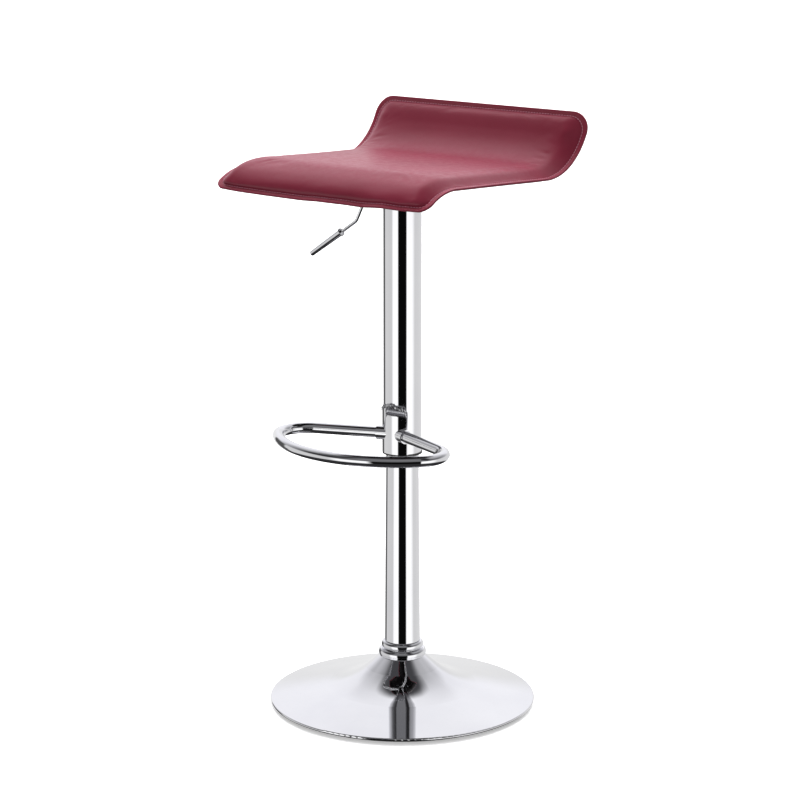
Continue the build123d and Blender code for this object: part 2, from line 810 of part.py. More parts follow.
with BuildPart() as lever_rod:
    with BuildLine(Plane.XZ) as rod_path:
        rod_end = handle_plane.origin - lever_line * (handle_length - handle_bore_depth)
        FilletPolyline(
            (socket_end, pivot_z), lever_upper_bend, lever_lower_bend, (rod_end.X, rod_end.Z),
            radius=lever_bend_radii,
        )
    with BuildSketch(Plane(origin=(socket_end, 0, pivot_z), z_dir=(-1, 0, 0))):
        Circle(lever_rod_radius)
    sweep(path=rod_path.wire())
save(lever_rod, "lever_rod")

ring_bottom = handle_length - handle_ring_width

with BuildPart() as lever_handle:
    with BuildSketch(Plane(origin=handle_plane.origin, x_dir=(0, 1, 0), z_dir=-handle_plane.y_dir)):
        with BuildLine():
            Polyline(
                (0, 0), (handle_end_radius - 1, 0), (handle_end_radius, 1),
                (handle_grip_radius, ring_bottom), (lever_rod_radius, ring_bottom),
                (lever_rod_radius, handle_length - handle_bore_depth),
                (0, handle_length - handle_bore_depth), close=True,
            )
        make_face()
    revolve(axis=Axis(handle_plane.origin, handle_plane.z_dir))
save(lever_handle, "lever_handle")

with BuildPart() as handle_ring:
    with BuildSketch(handle_plane.offset(ring_bottom)):
        Circle(handle_ring_radius)
        Circle(lever_rod_radius, mode=Mode.SUBTRACT)
    extrude(amount=handle_ring_width)
    fillet(handle_ring.edges().filter_by(GeomType.CIRCLE).sort_by(SortBy.RADIUS)[-2:], 1)
save(handle_ring, "handle_ring")
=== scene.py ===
import json
import math

import bmesh
import bpy
import numpy as np
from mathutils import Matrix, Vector


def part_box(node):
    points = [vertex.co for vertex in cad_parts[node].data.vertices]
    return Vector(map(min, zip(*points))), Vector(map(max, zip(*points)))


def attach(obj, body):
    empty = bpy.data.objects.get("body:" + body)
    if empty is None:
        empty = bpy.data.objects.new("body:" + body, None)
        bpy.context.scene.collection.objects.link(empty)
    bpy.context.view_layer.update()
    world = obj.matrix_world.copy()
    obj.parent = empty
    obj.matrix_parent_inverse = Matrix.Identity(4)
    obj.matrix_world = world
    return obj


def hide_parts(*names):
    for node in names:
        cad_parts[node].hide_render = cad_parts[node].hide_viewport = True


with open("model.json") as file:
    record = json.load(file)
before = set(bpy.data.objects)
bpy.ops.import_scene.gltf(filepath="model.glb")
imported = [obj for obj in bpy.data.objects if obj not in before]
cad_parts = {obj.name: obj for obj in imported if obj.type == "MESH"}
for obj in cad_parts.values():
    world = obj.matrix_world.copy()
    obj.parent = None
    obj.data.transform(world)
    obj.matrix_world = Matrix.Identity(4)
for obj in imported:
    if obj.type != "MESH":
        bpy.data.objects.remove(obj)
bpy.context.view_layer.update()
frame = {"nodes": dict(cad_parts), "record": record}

# The looks of the adjustable swivel stool. The seat's cushion and underside, their stitches and the
# weld on the footrest's saddle are made here. Every other piece is a CAD node in its slot's finish.

MM = 0.001


# ---------------------------------------------------------------- small helpers

def smooth(low, high, value):
    """Smooth step from 0 at low to 1 at high."""
    t = np.clip((np.asarray(value, float) - low) / (high - low), 0.0, 1.0)
    return t * t * (3.0 - 2.0 * t)


def new_object(name, vertices, faces):
    """A mesh object with smooth shading, linked to the scene."""
    mesh = bpy.data.meshes.new(name)
    mesh.from_pydata([tuple(v) for v in vertices], [], [tuple(f) for f in faces])
    mesh.validate()
    mesh.update()
    for polygon in mesh.polygons:
        polygon.use_smooth = True
    piece = bpy.data.objects.new(name, mesh)
    bpy.context.scene.collection.objects.link(piece)
    return piece


def set_material(piece, material):
    piece.data.materials.clear()
    piece.data.materials.append(material)


def tube_faces(first, rings, sides):
    """Faces of a capped tube. Its vertices are rings of points, numbered on from first."""
    faces = []
    for ring in range(rings - 1):
        row = first + ring * sides
        for m in range(sides):
            n = (m + 1) % sides
            faces.append((row + m, row + n, row + sides + n, row + sides + m))
    last = first + (rings - 1) * sides
    faces.append(tuple(first + m for m in reversed(range(sides))))
    faces.append(tuple(last + m for m in range(sides)))
    return faces


def face_outwards(piece):
    """Turn the faces of a closed piece outwards."""
    edit = bmesh.new()
    edit.from_mesh(piece.data)
    bmesh.ops.recalc_face_normals(edit, faces=edit.faces)
    edit.to_mesh(piece.data)
    edit.free()


def add_node(tree, kind, **settings):
    node = tree.nodes.new(kind)
    for key, value in settings.items():
        setattr(node, key, value)
    return node


def fill_ramp(node, stops):
    """Give a Color Ramp node its stops, a list of (position, color)."""
    elements = node.color_ramp.elements
    while len(elements) < len(stops):
        elements.new(0.5)
    for element, (position, color) in zip(elements, stops):
        element.position = position
        element.color = (*color, 1.0)


# ---------------------------------------------------------------- camera

CAMERA_AZIMUTH = math.radians(37.65)
CAMERA_PITCH = math.radians(12.49)
CAMERA_DISTANCE = 3.737
CAMERA_HEIGHT = 1.306
SENSOR_WIDTH = 36.0
LENS = 120.9
SHIFT_X = -0.0029
SHIFT_Y = -0.025
CLIP_END = 50.0


def make_camera():
    """The camera, in front and to the right of the stool, looking a little down."""
    data = bpy.data.cameras.new("camera")
    data.sensor_width = SENSOR_WIDTH
    data.lens = LENS
    data.shift_x = SHIFT_X
    data.shift_y = SHIFT_Y
    data.clip_end = CLIP_END
    camera = bpy.data.objects.new("camera", data)
    bpy.context.scene.collection.objects.link(camera)
    camera.location = (
        CAMERA_DISTANCE * math.sin(CAMERA_AZIMUTH),
        -CAMERA_DISTANCE * math.cos(CAMERA_AZIMUTH),
        CAMERA_HEIGHT,
    )
    camera.rotation_euler = (math.pi / 2 - CAMERA_PITCH, 0.0, CAMERA_AZIMUTH)
    bpy.context.scene.camera = camera


# ---------------------------------------------------------------- materials

class Shader:
    """A material's node tree around one Principled shader. Patterns are laid out in object space."""

    def __init__(self, name, color, roughness, metallic=0.0):
        self.material = bpy.data.materials.new(name)
        self.material.use_nodes = True
        self.material.diffuse_color = (*color, 1.0)
        self.tree = self.material.node_tree
        self.bsdf = self.tree.nodes["Principled BSDF"]
        self.set("Base Color", (*color, 1.0))
        self.set("Roughness", roughness)
        self.set("Metallic", metallic)
        self.place = add_node(self.tree, "ShaderNodeTexCoord").outputs["Object"]

    def link(self, source, target):
        self.tree.links.new(source, target)

    def set(self, socket, value):
        self.bsdf.inputs[socket].default_value = value

    def stretched(self, scale):
        """Object space scaled by axis. An axis of small scale is the one that streaks run along."""
        mapping = add_node(self.tree, "ShaderNodeMapping")
        mapping.inputs["Scale"].default_value = scale
        self.link(self.place, mapping.inputs["Vector"])
        return mapping.outputs["Vector"]

    def noise(self, scale, detail=3.0, rough=0.5, vector=None):
        node = add_node(self.tree, "ShaderNodeTexNoise")
        node.inputs["Scale"].default_value = scale
        node.inputs["Detail"].default_value = detail
        node.inputs["Roughness"].default_value = rough
        self.link(vector or self.place, node.inputs["Vector"])
        return node.outputs["Fac"]

    def cells(self, scale, feature="F1"):
        node = add_node(self.tree, "ShaderNodeTexVoronoi", feature=feature)
        node.inputs["Scale"].default_value = scale
        self.link(self.place, node.inputs["Vector"])
        return node.outputs["Distance"]

    def remap(self, source, low, high, from_low=0.3, from_high=0.7):
        """Turn from_low..from_high, by default where noise mostly lies, into low..high."""
        node = add_node(self.tree, "ShaderNodeMapRange")
        node.inputs["From Min"].default_value = from_low
        node.inputs["From Max"].default_value = from_high
        node.inputs["To Min"].default_value = low
        node.inputs["To Max"].default_value = high
        self.link(source, node.inputs["Value"])
        return node.outputs["Result"]

    def color(self, source, stops):
        node = add_node(self.tree, "ShaderNodeValToRGB")
        fill_ramp(node, stops)
        self.link(source, node.inputs["Fac"])
        self.link(node.outputs["Color"], self.bsdf.inputs["Base Color"])

    def roughness(self, source, low, high):
        self.link(self.remap(source, low, high), self.bsdf.inputs["Roughness"])

    def bump(self, layers):
        """layers: list of (height source, strength, distance in metres), chained."""
        normal = None
        for height, strength, distance in layers:
            node = add_node(self.tree, "ShaderNodeBump")
            node.inputs["Strength"].default_value = strength
            node.inputs["Distance"].default_value = distance
            self.link(height, node.inputs["Height"])
            if normal is not None:
                self.link(normal, node.inputs["Normal"])
            normal = node.outputs["Normal"]
        self.link(normal, self.bsdf.inputs["Normal"])


def chrome_material():
    """Mirror chrome with a faint haze and polishing streaks that run up and down."""
    shader = Shader("polished_chrome", (0.83, 0.83, 0.85), 0.04, metallic=1.0)
    haze = shader.noise(9.0, detail=4.0)
    streaks = shader.noise(60.0, detail=6.0, rough=0.7, vector=shader.stretched((1.0, 1.0, 0.08)))
    shader.color(haze, [(0.3, (0.80, 0.80, 0.825)), (0.7, (0.86, 0.86, 0.875))])
    shader.roughness(streaks, 0.025, 0.06)
    shader.bump([(shader.noise(1400.0, detail=2.0), 0.02, 0.00002)])
    return shader.material


def weld_material():
    """Chrome over rough weld metal, darker in its pits."""
    shader = Shader("chromed_weld", (0.80, 0.80, 0.82), 0.10, metallic=1.0)
    spatter = shader.noise(260.0, detail=4.0)
    shader.color(spatter, [(0.35, (0.34, 0.34, 0.35)), (0.6, (0.86, 0.86, 0.88))])
    shader.roughness(spatter, 0.06, 0.16)
    shader.bump([(shader.noise(420.0, detail=3.0), 0.8, 0.0012)])
    return shader.material


def leather_material(name, dark, light, roughness):
    """Coated leather: a fine cell grain, pores and a soft unevenness."""
    shader = Shader(name, light, roughness)
    cloud = shader.noise(7.0, detail=5.0, rough=0.55)
    shader.color(cloud, [(0.3, dark), (0.7, light)])
    wear = shader.noise(120.0, detail=2.0)
    grain = shader.cells(950.0, feature="DISTANCE_TO_EDGE")
    pores = shader.noise(2600.0, detail=3.0, rough=0.6)
    shader.roughness(wear, roughness - 0.04, roughness + 0.06)
    shader.set("Specular IOR Level", 0.40)
    shader.set("Sheen Weight", 0.08)
    shader.set("Sheen Roughness", 0.35)
    shader.set("Sheen Tint", (1.0, 0.60, 0.85, 1.0))
    shader.bump([
        (shader.remap(grain, 0.0, 1.0, from_low=0.0, from_high=0.25), 0.14, 0.00012),
        (pores, 0.10, 0.00006),
        (shader.noise(26.0, detail=2.0), 0.015, 0.0006),
    ])
    return shader.material


def thread_material():
    # The thread's pink is lighter than the seat's leather. It is partly the thread's own colour and
    # partly a painted highlight, so that the seam shows as a light line.
    shader = Shader("stitch_thread", (0.75, 0.33, 0.41), 0.55)
    twist = shader.noise(900.0, detail=2.0, vector=shader.stretched((1.0, 1.0, 3.0)))
    shader.color(twist, [(0.35, (0.58, 0.23, 0.31)), (0.65, (0.76, 0.36, 0.45))])
    shader.bump([(shader.noise(2500.0), 0.3, 0.0001)])
    return shader.material


def rubber_material():
    shader = Shader("black_rubber", (0.02, 0.02, 0.021), 0.6)
    dust = shader.noise(45.0, detail=6.0, rough=0.65)
    shader.color(dust, [(0.35, (0.012, 0.012, 0.013)), (0.75, (0.032, 0.031, 0.030))])
    shader.roughness(dust, 0.5, 0.72)
    shader.bump([(shader.noise(1800.0, detail=3.0), 0.2, 0.0001)])
    return shader.material


def plastic_material(name, dark, light, roughness):
    """Moulded plastic with a fine pebbled grain."""
    shader = Shader(name, light, roughness)
    cloud = shader.noise(30.0, detail=4.0)
    shader.color(cloud, [(0.3, dark), (0.7, light)])
    shader.roughness(cloud, roughness - 0.06, roughness + 0.08)
    shader.bump([(shader.cells(1500.0), 0.15, 0.00006)])
    return shader.material


def steel_material(name, dark, light, roughness, stretch):
    """Machined or plated steel with fine streaks."""
    shader = Shader(name, light, roughness, metallic=1.0)
    streaks = shader.noise(350.0, detail=6.0, rough=0.7, vector=shader.stretched(stretch))
    shader.color(streaks, [(0.3, dark), (0.7, light)])
    shader.roughness(streaks, roughness - 0.07, roughness + 0.1)
    shader.bump([(streaks, 0.08, 0.00005)])
    return shader.material


def powder_coat_material():
    """Black powder coat: orange peel and a few worn patches."""
    shader = Shader("black_powder_coat", (0.02, 0.02, 0.021), 0.42)
    peel = shader.noise(700.0, detail=2.0)
    wear = shader.noise(35.0, detail=7.0, rough=0.7)
    shader.color(wear, [(0.3, (0.014, 0.014, 0.015)), (0.8, (0.040, 0.040, 0.042))])
    shader.roughness(wear, 0.34, 0.52)
    shader.bump([(peel, 0.25, 0.0002)])
    return shader.material


def cast_iron_material():
    """Dark sand-cast iron with some brown rust."""
    shader = Shader("cast_iron", (0.10, 0.10, 0.105), 0.62, metallic=0.7)
    blotch = shader.noise(30.0, detail=8.0, rough=0.7)
    shader.color(blotch, [
        (0.3, (0.055, 0.052, 0.05)),
        (0.6, (0.12, 0.118, 0.115)),
        (0.85, (0.17, 0.13, 0.10)),
    ])
    shader.roughness(blotch, 0.5, 0.8)
    shader.bump([(shader.noise(420.0, detail=5.0), 0.5, 0.0006)])
    return shader.material


def plywood_material():
    """Plywood whose grain runs along X."""
    shader = Shader("bent_plywood", (0.60, 0.42, 0.24), 0.6)
    grain = shader.noise(40.0, detail=8.0, rough=0.65, vector=shader.stretched((0.12, 1.0, 1.0)))
    shader.color(grain, [
        (0.3, (0.42, 0.26, 0.13)),
        (0.55, (0.60, 0.42, 0.24)),
        (0.8, (0.70, 0.53, 0.33)),
    ])
    shader.roughness(grain, 0.5, 0.7)
    shader.bump([(grain, 0.25, 0.0004)])
    return shader.material


def foam_material():
    shader = Shader("open_cell_foam", (0.80, 0.74, 0.52), 0.9)
    age = shader.noise(12.0, detail=4.0)
    shader.color(age, [(0.3, (0.74, 0.66, 0.42)), (0.7, (0.84, 0.79, 0.60))])
    shader.bump([(shader.cells(900.0), 0.8, 0.0006)])
    return shader.material


def slot_finishes():
    """The material of each slot in the record."""
    all_ways = (1.0, 1.0, 1.0)
    up_and_down = (1.0, 1.0, 0.1)
    return {
        "chrome": chrome_material(),
        "upholstery": leather_material(
            "burgundy_leather", (0.225, 0.018, 0.040), (0.270, 0.024, 0.052), 0.37
        ),
        # The underside's near black is painted shade. It stands in for the shade under the seat, so
        # that the underside shows dark in the chrome below it.
        "undercover": leather_material(
            "underside_black_painted_shade", (0.010, 0.008, 0.009), (0.018, 0.014, 0.015), 0.55
        ),
        "foam": foam_material(),
        "plywood": plywood_material(),
        "black_plastic": plastic_material(
            "black_plastic", (0.012, 0.012, 0.013), (0.026, 0.026, 0.027), 0.42
        ),
        "nylon": plastic_material("natural_nylon", (0.66, 0.65, 0.60), (0.76, 0.75, 0.70), 0.40),
        "black_rubber": rubber_material(),
        "cast_iron": cast_iron_material(),
        "steel": steel_material(
            "machined_steel", (0.48, 0.48, 0.49), (0.62, 0.62, 0.64), 0.28, up_and_down
        ),
        "black_steel": powder_coat_material(),
        "zinc": steel_material("zinc_plate", (0.56, 0.57, 0.60), (0.74, 0.75, 0.78), 0.32, all_ways),
    }


def dress_cad_nodes(finishes):
    """Give every CAD node the material of its record slot."""
    for part in frame["record"]["subparts"]:
        set_material(frame["nodes"][part["node"]], finishes[part["material_slot"]])


# ---------------------------------------------------------------- seat: the bent sheet

# The seat's two covers meet in a sewn sheet. Its flat pattern is a rounded rectangle, measured
# across (X, from the middle) and along (from the front edge). In section it is a front arc that
# falls to the front, a flat that falls to the rear, and a rear arc that turns up to the backrest.
# SEAT_HEIGHT is where the flat meets the column's axis. The front edge bows forward by FRONT_BOW,
# and TAPER is the share by which the rear edge is wider.
SEAT_WIDTH = 375.0 * MM
SEAT_HEIGHT = 776.7 * MM
SEAT_SLOPE = math.radians(2.9)
BEND_RADIUS = 100.0 * MM
FRONT_ANGLE = math.radians(39.0)
REAR_ANGLE = math.radians(80.5)
FLAT_FRONT = -120.0 * MM
FLAT_REAR = 85.0 * MM
FRONT_CORNER = 16.0 * MM
REAR_CORNER = 29.0 * MM
FRONT_BOW = 4.5 * MM
BOW_REACH = 90.0 * MM
TAPER = 0.011

FRONT_ARC = (FRONT_ANGLE + SEAT_SLOPE) * BEND_RADIUS
FLAT_LENGTH = (FLAT_REAR - FLAT_FRONT) / math.cos(SEAT_SLOPE)
REAR_ARC = (REAR_ANGLE + SEAT_SLOPE) * BEND_RADIUS
SEAT_LENGTH = FRONT_ARC + FLAT_LENGTH + REAR_ARC


def seat_profile(s):
    """(y, z, tangent angle) of the sewn sheet at arc length s from the front edge."""
    s = np.asarray(s, float)
    front_angle = FRONT_ANGLE - np.minimum(s, FRONT_ARC) / BEND_RADIUS
    y = FLAT_FRONT - BEND_RADIUS * (math.sin(SEAT_SLOPE) + np.sin(front_angle))
    z = SEAT_HEIGHT - FLAT_FRONT * math.tan(SEAT_SLOPE)
    z = z - BEND_RADIUS * (math.cos(SEAT_SLOPE) - np.cos(front_angle))
    on_flat = np.clip(s - FRONT_ARC, 0.0, FLAT_LENGTH)
    y = y + on_flat * math.cos(SEAT_SLOPE)
    z = z - on_flat * math.sin(SEAT_SLOPE)
    rear_angle = np.maximum(s - FRONT_ARC - FLAT_LENGTH, 0.0) / BEND_RADIUS - SEAT_SLOPE
    y = y + BEND_RADIUS * (np.sin(rear_angle) + math.sin(SEAT_SLOPE))
    z = z + BEND_RADIUS * (math.cos(SEAT_SLOPE) - np.cos(rear_angle))
    return y, z, np.where(s < FRONT_ARC, front_angle, rear_angle)


def place_on_seat(across, along, height):
    """Map points of the flat pattern (across, along, height above it) onto the bent seat."""
    across, along, height = (np.asarray(v, float) for v in (across, along, height))
    share = 2.0 * along / SEAT_LENGTH - 1.0
    middle_share = 1.0 - (across / (SEAT_WIDTH / 2.0)) ** 2
    bow = FRONT_BOW * middle_share * (1.0 - smooth(0.0, BOW_REACH, along))
    y, z, angle = seat_profile(along - bow)
    x = across * (1.0 + TAPER * share)
    return np.stack([x, y - height * np.sin(angle), z + height * np.cos(angle)], axis=-1)


CORNER_SHRINK = 0.55
SMALLEST_FRONT_CORNER = 9.0 * MM
SMALLEST_REAR_CORNER = 12.0 * MM


def outline(inset, samples_per_side):
    """Closed rounded rectangle, inset from the edge, as (across, along) with equal steps along
    each side from the middle of one corner to the middle of the next. Starts at the front left
    corner's middle and goes along the front, right, rear and left sides."""
    half_a = SEAT_WIDTH / 2.0
    half_b = SEAT_LENGTH / 2.0
    # The rings grow squarer toward the middle, where both a and b end at nothing.
    a = max(half_a - inset, 0.0)
    b = max(half_b - inset - (half_b - half_a) * (inset / half_a) ** 2, 0.0)
    room = 0.999 * min(a, b)
    front = min(max(FRONT_CORNER - CORNER_SHRINK * inset, SMALLEST_FRONT_CORNER), room)
    rear = min(max(REAR_CORNER - CORNER_SHRINK * inset, SMALLEST_REAR_CORNER), room)
    # Each corner's arc: its centre, its radius and the angle that it starts at.
    corners = [
        ((front - a, front - b), front, math.pi),
        ((a - front, front - b), front, -math.pi / 2),
        ((a - rear, b - rear), rear, 0.0),
        ((rear - a, b - rear), rear, math.pi / 2),
    ]

    def on_arc(centre, radius, angle):
        return np.array([centre[0] + radius * math.cos(angle), centre[1] + radius * math.sin(angle)])

    points = []
    for side in range(4):
        centre0, r0, start0 = corners[side]
        centre1, r1, start1 = corners[(side + 1) % 4]
        leave = on_arc(centre0, r0, start0 + math.pi / 2)
        arrive = on_arc(centre1, r1, start1)
        arc0 = r0 * math.pi / 4
        run = abs(centre1[side % 2] - centre0[side % 2])
        total = arc0 + run + r1 * math.pi / 4
        for step in range(samples_per_side):
            d = total * step / samples_per_side
            if d < arc0:
                points.append(on_arc(centre0, r0, start0 + math.pi / 4 + d / r0))
            elif d < arc0 + run:
                points.append(leave + (arrive - leave) * (d - arc0) / run)
            else:
                points.append(on_arc(centre1, r1, start1 + (d - arc0 - run) / r1))
    return np.array(points) + np.array([0.0, half_b])


# ---------------------------------------------------------------- seat: the pad's section

# The stitches lie at SEAM_INSET. Faces that are all nearer to the edge than LIP_INSET are the lip.
SEAM_INSET = 7.0 * MM
LIP_INSET = 6.9 * MM

# Distance in from the sewn edge (mm) of each ring of the cushion's mesh: close at the lip and its
# seam, then evenly to the middle.
EDGE_INSETS = [
    0.0, 0.35, 1.2, 2.5, 4.0, 5.2, 6.1, 6.6, 7.0, 7.4, 8.2, 9.5, 11.0, 13.0, 15.5, 18.5, 22.0, 26.0,
    30.5, 35.5,
]
INNER_RINGS = 58
MIDDLE_INSET = SEAT_WIDTH / 2.0 / MM
INNER_INSETS = np.linspace(EDGE_INSETS[-1], MIDDLE_INSET, INNER_RINGS + 1)[1:]
INSETS = MM * np.array([*EDGE_INSETS, *INNER_INSETS])
RING_COUNT = len(INSETS) - 1

# Height over the sheet by distance in from the sewn edge, both in mm: first the pressed lip, then
# the seam's groove at 7, the roll and the crown. The front rises soonest, from the deepest groove.
# The sides rise last and reach the crown first.
LIP_PROFILE = [(0.0, 0.75), (0.35, 1.30), (1.2, 1.50), (5.2, 1.50)]
CROWN_PROFILE = [(80.0, 16.0), (187.5, 16.2)]
SIDE_PROFILE = [
    *LIP_PROFILE, (6.1, 1.28), (6.6, 1.00), (7.0, 0.80), (7.4, 1.05), (8.2, 2.0), (9.5, 3.3),
    (11.0, 4.7), (13.0, 6.5), (15.5, 8.6), (18.5, 11.0), (22.0, 13.3), (26.0, 14.6), (30.5, 15.1),
    (35.5, 15.3), (50.0, 15.6), *CROWN_PROFILE,
]
FRONT_PROFILE = [
    *LIP_PROFILE, (6.1, 1.10), (6.6, 0.50), (7.0, 0.30), (7.4, 0.80), (8.2, 3.0), (9.5, 5.2),
    (11.0, 6.9), (13.0, 8.5), (15.5, 10.0), (18.5, 11.4), (22.0, 12.5), (26.0, 13.5), (30.5, 14.3),
    (35.5, 14.8), (50.0, 15.5), *CROWN_PROFILE,
]
REAR_PROFILE = [
    *LIP_PROFILE, (6.1, 1.28), (6.6, 1.00), (7.0, 0.80), (7.4, 1.30), (8.2, 3.0), (9.5, 4.8),
    (11.0, 6.4), (13.0, 8.0), (15.5, 9.5), (18.5, 10.9), (22.0, 12.1), (26.0, 13.1), (30.5, 13.9),
    (35.5, 14.5), (50.0, 15.4), *CROWN_PROFILE,
]
UNDER_PROFILE = [
    (0.0, -0.75), (0.35, -1.30), (1.2, -1.50), (5.2, -1.50), (6.1, -1.30), (7.0, -0.90), (8.2, -1.7),
    (11.0, -3.3), (14.0, -4.3), (18.5, -4.9), (22.0, -5.0), (187.5, -5.0),
]


def profile_height(profile, inset):
    """Height (m) over the sheet at a distance in from the sewn edge (m)."""
    insets, heights = zip(*profile)
    return MM * np.interp(inset / MM, insets, heights)


def sway(place, scale, phase):
    """A sine wave along place (m), 2 pi times scale (mm) long."""
    return np.sin(place / (scale * MM) + phase)


def edge_wave(across, along):
    """How far the sewn lip wanders off its sheet (m). It wanders most along the front edge, where
    it is hardly held, and there most to the right of the middle."""
    front = 1.0 - smooth(0.0, 45 * MM, along)
    toward_right = smooth(-60 * MM, 40 * MM, across) * (1.0 - smooth(150 * MM, 185 * MM, across))
    slow = sway(across, 47.0, 0.8)
    ripple = sway(across, 16.5, 0.6) + 0.5 * sway(across, 9.0, 2.1)
    at_sides = smooth(150 * MM, 187 * MM, np.abs(across))
    sides = at_sides * sway(along, 31.0, 2.0 * np.sign(across))
    front_wander = 0.70 * slow + (0.20 + 0.60 * toward_right) * ripple
    return MM * (front * front_wander + 0.16 * sides)


def lip_wave(across, along, inset):
    """The sewn lip's wander (m), which dies out under the pad."""
    return (1.0 - smooth(6 * MM, 34 * MM, inset)) * edge_wave(across, along)


def cushion_height(across, along, inset):
    """Height of the top cover over the sheet (m). The side, rear and front sections blend where
    the corners' diagonals are."""
    to_side = SEAT_WIDTH / 2.0 - np.abs(across)
    to_end = np.minimum(along, SEAT_LENGTH - along)
    side_share = 1.0 - smooth(-10 * MM, 14 * MM, to_side - to_end)
    rear_share = (1.0 - side_share) * smooth(0.4, 0.6, along / SEAT_LENGTH)
    front_share = 1.0 - side_share - rear_share
    height = side_share * profile_height(SIDE_PROFILE, inset)
    height = height + rear_share * profile_height(REAR_PROFILE, inset)
    height = height + front_share * profile_height(FRONT_PROFILE, inset)
    return height + lip_wave(across, along, inset)


FRONT_BULGE = 2.6 * MM


def front_overhang(across, along, inset):
    """How far the front roll bulges forward over its seam (m)."""
    front = 1.0 - smooth(-10 * MM, 14 * MM, along - (SEAT_WIDTH / 2.0 - np.abs(across)))
    bulge = smooth(7.2 * MM, 9.5 * MM, inset) * (1.0 - smooth(10 * MM, 26 * MM, inset))
    return FRONT_BULGE * front * bulge


# ---------------------------------------------------------------- seat: its mesh

def ring_grid():
    """The cushion's plan: concentric rings laid out as one square grid.

    Returns the plan points (across, along, inset) and the grid's vertex numbers."""
    size = 2 * RING_COUNT + 1
    numbers = np.zeros((size, size), int)
    plan = []
    for ring in range(RING_COUNT, 0, -1):
        inset = INSETS[RING_COUNT - ring]
        points = outline(inset, 2 * ring)
        low = RING_COUNT - ring
        high = RING_COUNT + ring
        walk = [(i, low) for i in range(low, high)] + [(high, j) for j in range(low, high)]
        walk += [(i, high) for i in range(high, low, -1)] + [(low, j) for j in range(high, low, -1)]
        for (i, j), (across, along) in zip(walk, points):
            numbers[i, j] = len(plan)
            plan.append((across, along, inset))
    numbers[RING_COUNT, RING_COUNT] = len(plan)
    plan.append((0.0, SEAT_LENGTH / 2.0, INSETS[-1]))
    return np.array(plan), numbers


def relax_plan(plan, numbers, rounds=60):
    """Even out the inner plan points, so that the rings' diagonals leave no crease."""
    size = numbers.shape[0]
    grid = plan[numbers]
    held = len(EDGE_INSETS) - 1
    free = np.zeros((size, size), bool)
    free[held:size - held, held:size - held] = True
    inner = free[1:-1, 1:-1]
    for _ in range(rounds):
        mean = (grid[:-2, 1:-1] + grid[2:, 1:-1] + grid[1:-1, :-2] + grid[1:-1, 2:]) / 4.0
        grid[1:-1, 1:-1][inner] = mean[inner]
    relaxed = np.empty_like(plan)
    relaxed[numbers.ravel()] = grid.reshape(-1, 3)
    return relaxed


def grid_faces(numbers, flip=False):
    """The grid's squares as faces, the other way round if flip."""
    faces = []
    size = numbers.shape[0]
    for i in range(size - 1):
        for j in range(size - 1):
            face = (numbers[i, j], numbers[i + 1, j], numbers[i + 1, j + 1], numbers[i, j + 1])
            faces.append(tuple(int(v) for v in (reversed(face) if flip else face)))
    return faces


LAST_FRAME = 20
CLOTH_SETTINGS = {
    "quality": 6,
    "mass": 0.3,
    "tension_stiffness": 15.0,
    "compression_stiffness": 15.0,
    "shear_stiffness": 5.0,
    "bending_stiffness": 0.5,
    "shrink_min": -0.0015,
    "use_pressure": True,
    "uniform_pressure_force": 4.0,
    "vertex_group_mass": "held",
}


def puff(points, faces, insets):
    """Blow the top cover up with a short cloth simulation, held at its seam, and return its points."""
    sheet = new_object("cushion_simulation", points, faces)
    held = sheet.vertex_groups.new(name="held")
    weights = 1.0 - smooth(7.4 * MM, 9.0 * MM, insets)
    for index, weight in enumerate(weights):
        if weight > 0.0:
            held.add([index], float(weight), "REPLACE")
    cloth = sheet.modifiers.new("cloth", "CLOTH")
    for key, value in CLOTH_SETTINGS.items():
        setattr(cloth.settings, key, value)
    cloth.settings.effector_weights.gravity = 0.0
    cloth.point_cache.frame_start = 1
    cloth.point_cache.frame_end = LAST_FRAME
    scene = bpy.context.scene
    for frame_number in range(1, LAST_FRAME + 1):
        scene.frame_set(frame_number)
    graph = bpy.context.evaluated_depsgraph_get()
    blown = sheet.evaluated_get(graph).to_mesh()
    moved = np.empty(len(points) * 3)
    blown.vertices.foreach_get("co", moved)
    scene.frame_set(1)
    mesh = sheet.data
    bpy.data.objects.remove(sheet)
    bpy.data.meshes.remove(mesh)
    return moved.reshape(-1, 3)


def cap(moves, most):
    """Shorten displacements smoothly so that none is longer than most."""
    length = np.maximum(np.linalg.norm(moves, axis=1, keepdims=True), 1e-9)
    return moves * (most * np.tanh(length / most) / length)


RIM_COUNT = 8 * RING_COUNT


def closed_form(name, outer, inner, numbers):
    """A closed piece from two grids that share their rim, which is the plan's first ring."""
    middle = numbers[RING_COUNT, RING_COUNT]
    outside_up = bool(outer[middle][2] > inner[middle][2])
    second = np.where(numbers < RIM_COUNT, numbers, numbers + len(outer) - RIM_COUNT)
    faces = grid_faces(numbers, flip=not outside_up) + grid_faces(second, flip=outside_up)
    return new_object(name, np.concatenate([outer, inner[RIM_COUNT:]]), faces)


def cover_in_leather(piece, leather, painted_light_lip, insets):
    """Give a piece its leather, and the lip's leather to the faces outside the seam. The lip's leather
    is a lighter copy of the seat's: painted light.
    """
    set_material(piece, leather)
    piece.data.materials.append(painted_light_lip)
    for polygon in piece.data.polygons:
        if max(insets[v] for v in polygon.vertices) < LIP_INSET:
            polygon.material_index = 1


CUSHION_SWELL = 1.1 * MM
PARTING = 0.02 * MM


